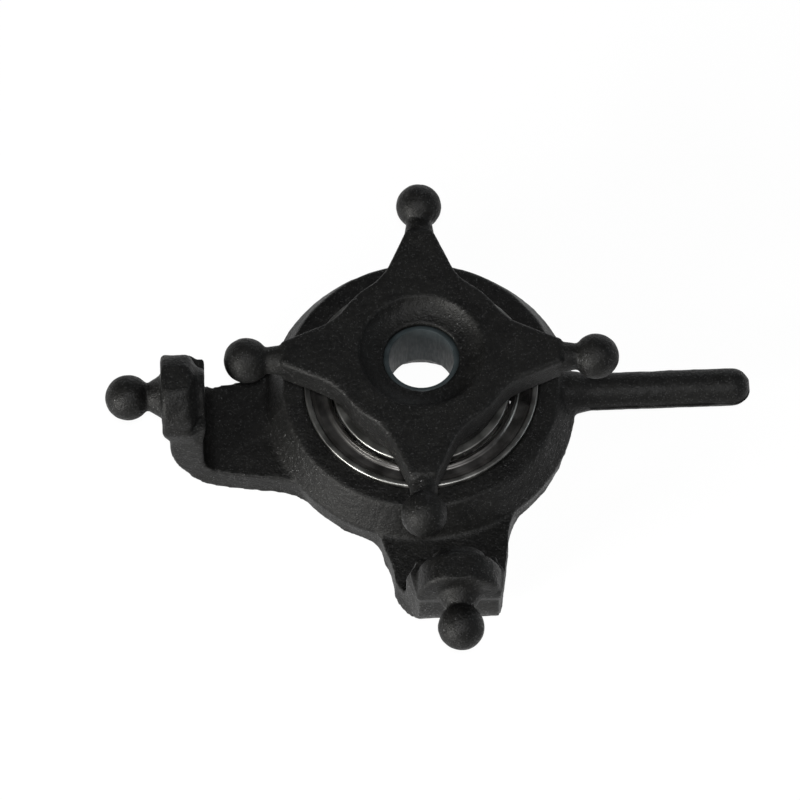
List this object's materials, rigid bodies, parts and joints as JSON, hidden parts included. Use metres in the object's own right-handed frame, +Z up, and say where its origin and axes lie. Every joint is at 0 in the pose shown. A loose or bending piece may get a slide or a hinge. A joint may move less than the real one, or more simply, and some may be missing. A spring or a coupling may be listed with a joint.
{
  "type": "helicopter swashplate",
  "caption": "Moulded model-helicopter swashplate: tilting star with ball studs on a shielded ball bearing, in a ring with servo arms and an anti-rotation pin.",
  "frame": {"origin": "centre of the pivot ball, on the mast's axis", "axes": "+Z up along the mast through the star, +X along the anti-rotation pin"},
  "size_m": [0.0496, 0.0393, 0.0115],
  "materials": {
    "black_nylon": "fine moulded grain of glass-filled nylon",
    "race_steel": "ground bearing steel",
    "shield_steel": "stamped steel",
    "clip_steel": "spring steel",
    "cage_nylon": "natural nylon",
    "ball_steel": "polished",
    "ball_acetal": "smooth turned grey acetal"
  },
  "bodies": {
    "outer_ring": {"outer_ring": "black_nylon", "outer_race": "race_steel", "upper_shield": "shield_steel", "lower_shield": "shield_steel", "upper_shield_clip": "clip_steel", "lower_shield_clip": "clip_steel"},
    "star": {"star": "black_nylon", "inner_race": "race_steel", "hub_retainer": "black_nylon"},
    "ball_cage": {"ball_cage": "cage_nylon", "bearing_ball_01": "ball_steel", "bearing_ball_02": "ball_steel", "bearing_ball_03": "ball_steel", "bearing_ball_04": "ball_steel", "bearing_ball_05": "ball_steel", "bearing_ball_06": "ball_steel", "bearing_ball_07": "ball_steel", "bearing_ball_08": "ball_steel", "bearing_ball_09": "ball_steel", "bearing_ball_10": "ball_steel", "bearing_ball_11": "ball_steel", "bearing_ball_12": "ball_steel"},
    "pivot_ball": {"pivot_ball": "ball_acetal"}
  },
  "joints": [
    {"name": "star_spin", "type": "hinge", "parent": "outer_ring", "child": "star", "pos_m": [0, 0, 0], "axis": [0, 0, 1], "continuous": true},
    {"name": "cage_spin", "type": "hinge", "parent": "outer_ring", "child": "ball_cage", "pos_m": [0, 0, 0], "axis": [0, 0, 1], "continuous": true},
    {"name": "plate_tilt", "type": "hinge", "parent": "star", "child": "pivot_ball", "pos_m": [0, 0, 0], "axis": [1, 0, 0], "range_deg": [-8, 8]}
  ],
  "couplings": [
    {"joint": "cage_spin", "follows": "star_spin", "ratio": 0.435}
  ]
}
